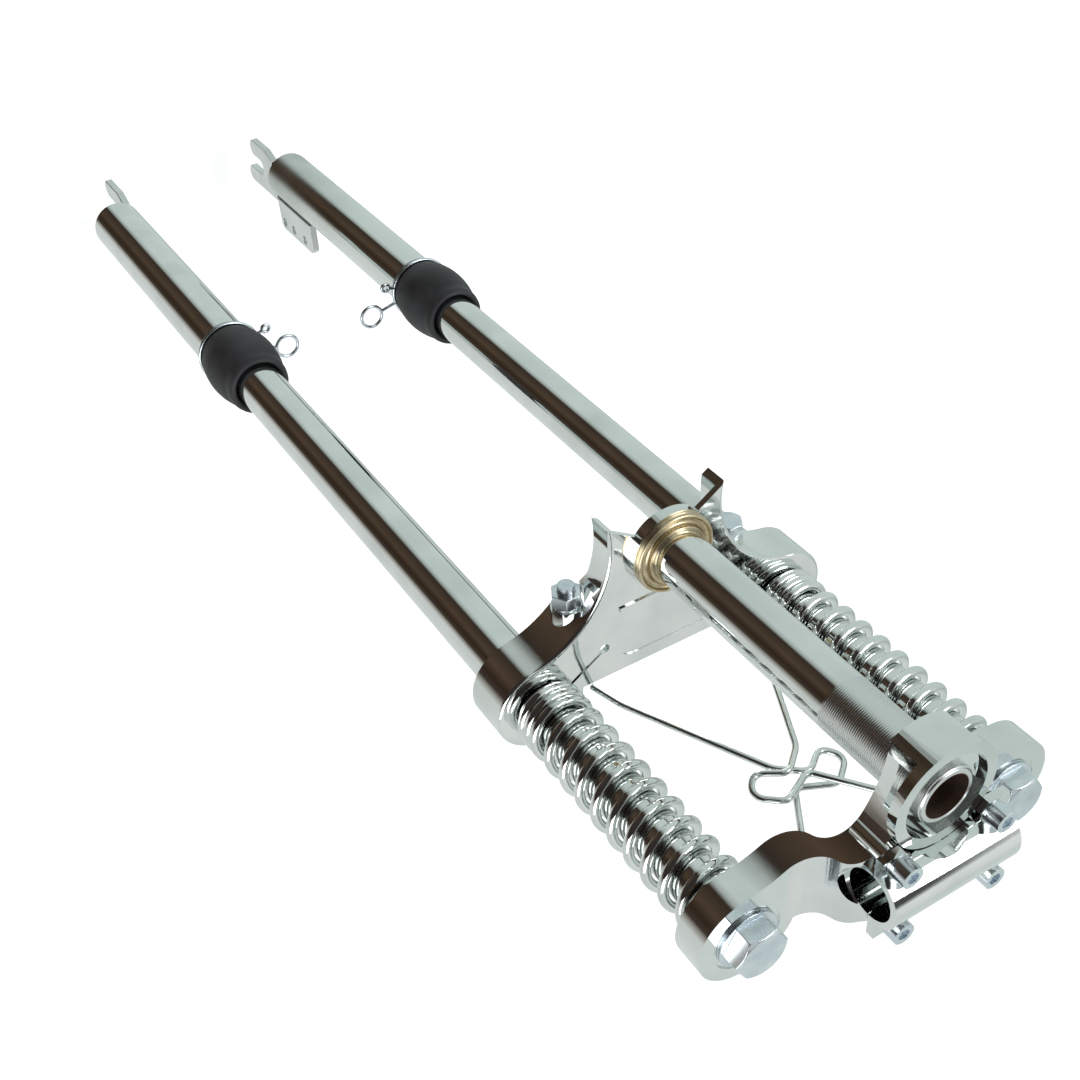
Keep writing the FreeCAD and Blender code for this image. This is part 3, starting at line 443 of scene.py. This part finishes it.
# Nodes that keep their CAD shape, with the width of their broken edges in metres
EDGE_WIDTH = {
    "lower_yoke": 0.0011, "top_yoke": 0.0022, "handlebar_clamp_cap": 0.0006,
    "clamp_screws": 0.0003, "clamp_spring_washers": 0.0002,
    "leg_cap_bolts": 0.0004, "leg_cap_washers": 0.0003,
    "pinch_bolts": 0.0003, "pinch_nuts": 0.0003, "pinch_washers": 0.0002,
    "crown_race": 0.0003, "steerer_tube": 0.0,
    "slider_left": 0.0, "slider_right": 0.0,
    "fork_end_left": 0.0005, "fork_end_right": 0.0005,
    "cable_guide_left": 0.0, "cable_guide_right": 0.0,
    "boot_clip_left": 0.0, "boot_clip_right": 0.0,
}
for node, bevel in EDGE_WIDTH.items():
    smooth_copy(node, bevel)

for name, obj in nodes.items():
    if name + SKIN not in bpy.data.objects:
        obj.data.materials.clear()
        obj.data.materials.append(MATERIALS[SLOT_OF[name]])


# ------------------------------------------------------------------- studio
whole_low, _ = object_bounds()
FLOOR_DROP = 0.02
FLOOR_SIZE = 14.0


def make_floor():
    """Pale floor that lights the part but isn't mirrored in its chrome."""
    bpy.ops.mesh.primitive_plane_add(size=FLOOR_SIZE,
                                     location=(0.0, 0.0, whole_low[2] - FLOOR_DROP))
    floor = bpy.context.object
    floor.name = "studio_floor"
    g = Surface("pale_floor")
    g.set(Base_Color=g.ramp(g.noise(3.0), [(0.3, (0.93, 0.93, 0.93)), (0.7, (0.96, 0.96, 0.96))]),
          Roughness=g.spread(g.noise(40.0), 0.8, 0.95))
    floor.data.materials.append(g.material)
    floor.visible_glossy = False


make_floor()

BLACK, WHITE = (0.0, 0.0, 0.0), (1.0, 1.0, 1.0)
# The walls, as shares of one turn that starts 59 degrees clockwise of +X, seen from above
WALL_START = 59 / 360
WALLS = [(0.00, (0.66, 0.73, 0.71)), (0.07, (0.48, 0.54, 0.52)), (0.13, (0.62, 0.70, 0.68)),
         (0.39, (0.60, 0.68, 0.66)), (0.425, (0.42, 0.46, 0.44)), (0.45, (0.040, 0.030, 0.022)),
         (0.54, (0.085, 0.055, 0.036)), (0.60, (0.035, 0.022, 0.014)),
         (0.648, (0.06, 0.045, 0.034)), (0.675, (0.38, 0.36, 0.33)), (0.71, (0.68, 0.71, 0.69)),
         (0.88, (0.72, 0.76, 0.75)), (1.0, (0.66, 0.73, 0.71))]
# The walls give way to the sky between these two sines of the elevation
WALL_TOP, SKY_FOOT = 0.46, 0.56
SKY = [(position, (level * 0.97, level, level * 0.98)) for position, level in (
    (0.56, 0.74), (0.82, 0.86), (0.87, 0.08), (0.95, 0.05), (0.985, 0.7))]
# A broad dark opening round one direction, which springs and rounded edges mirror
OPENING_AZIMUTH, OPENING_ELEVATION = 138.0, 22.0
OPENING_EDGE, OPENING_FULL = 0.70, 0.80
OPENING_COLOUR = (0.035, 0.030, 0.028)


def direction(azimuth, elevation):
    """Unit vector towards an azimuth from +X and an elevation, in degrees."""
    turn, rise = math.radians(azimuth), math.radians(elevation)
    return (math.cos(turn) * math.cos(rise), math.sin(turn) * math.cos(rise), math.sin(rise))


def make_world():
    """Pale studio all round, with dark parts that bright metal mirrors."""
    world = bpy.data.worlds.new("studio")
    bpy.context.scene.world = world
    world.use_nodes = True
    world.node_tree.nodes.clear()
    g = Tree(world.node_tree)
    towards = g.node("ShaderNodeTexCoord").outputs["Generated"]
    split = g.node("ShaderNodeSeparateXYZ", {"Vector": towards}).outputs
    turn = g.math("ARCTAN2", split["Y"], split["X"])
    share = g.math("FRACT", g.math("ADD", g.math("DIVIDE", turn, 2 * math.pi), 1.0 + WALL_START))
    above = g.ramp(split["Z"], [(WALL_TOP, BLACK), (SKY_FOOT, WHITE)])
    room = g.mix(above, g.ramp(share, WALLS), g.ramp(split["Z"], SKY))
    facing = g.vector_math("DOT_PRODUCT", "Value", towards,
                           direction(OPENING_AZIMUTH, OPENING_ELEVATION))
    opening = g.ramp(facing, [(OPENING_EDGE, BLACK), (OPENING_FULL, WHITE)])
    colour = g.mix(opening, room, OPENING_COLOUR)
    background = g.node("ShaderNodeBackground", {"Color": colour, "Strength": 1.0})
    g.node("ShaderNodeOutputWorld", {"Surface": background.outputs["Background"]})


make_world()


# ------------------------------------------------------------------- lights
LIT_POINT = (0.0, 0.0, -0.3)
WASH_ENERGY, WASH_ANGLE = 1.7, 60.0


def area_light(name, position, size, power):
    data = bpy.data.lights.new(name, "AREA")
    data.size = size
    data.energy = power
    obj = bpy.data.objects.new(name, data)
    obj.location = position
    aim = Vector(LIT_POINT) - Vector(position)
    obj.rotation_euler = aim.to_track_quat("-Z", "Y").to_euler()
    bpy.context.scene.collection.objects.link(obj)


def wash_light():
    """Soft light from straight above that leaves no image of itself in the chrome."""
    data = bpy.data.lights.new("wash", "SUN")
    data.energy = WASH_ENERGY
    data.angle = math.radians(WASH_ANGLE)
    obj = bpy.data.objects.new("wash", data)
    obj.visible_glossy = False
    bpy.context.scene.collection.objects.link(obj)


area_light("key", (1.6, 1.2, 2.4), 1.6, 40.0)
area_light("fill", (-2.2, -0.6, 1.8), 2.0, 30.0)
wash_light()


# ------------------------------------------------------------------- camera
CAMERA_RIGHT = Vector((0.85141304, -0.0518192, 0.5219297))
CAMERA_DOWN = Vector((-0.36374752, -0.7752515, 0.51640377))
CAMERA_AHEAD = Vector((0.37786715, -0.62952354, -0.67890834))
CAMERA_PLACE = Vector((-0.29238, 0.41406, 0.40636))
SENSOR_MM, LENS_MM = 36.0, 49.21


def make_camera():
    """View from above the steerer's mouth, rolled so that the legs run to the upper left."""
    data = bpy.data.cameras.new("view")
    data.sensor_width = SENSOR_MM
    data.lens = LENS_MM
    data.clip_start = 0.02
    data.clip_end = 60.0
    camera = bpy.data.objects.new("view", data)
    turn = Matrix((CAMERA_RIGHT, -CAMERA_DOWN, -CAMERA_AHEAD)).transposed()
    camera.matrix_world = Matrix.Translation(CAMERA_PLACE) @ turn.to_4x4()
    bpy.context.scene.collection.objects.link(camera)
    bpy.context.scene.camera = camera


make_camera()
bpy.context.scene.view_settings.view_transform = "Standard"
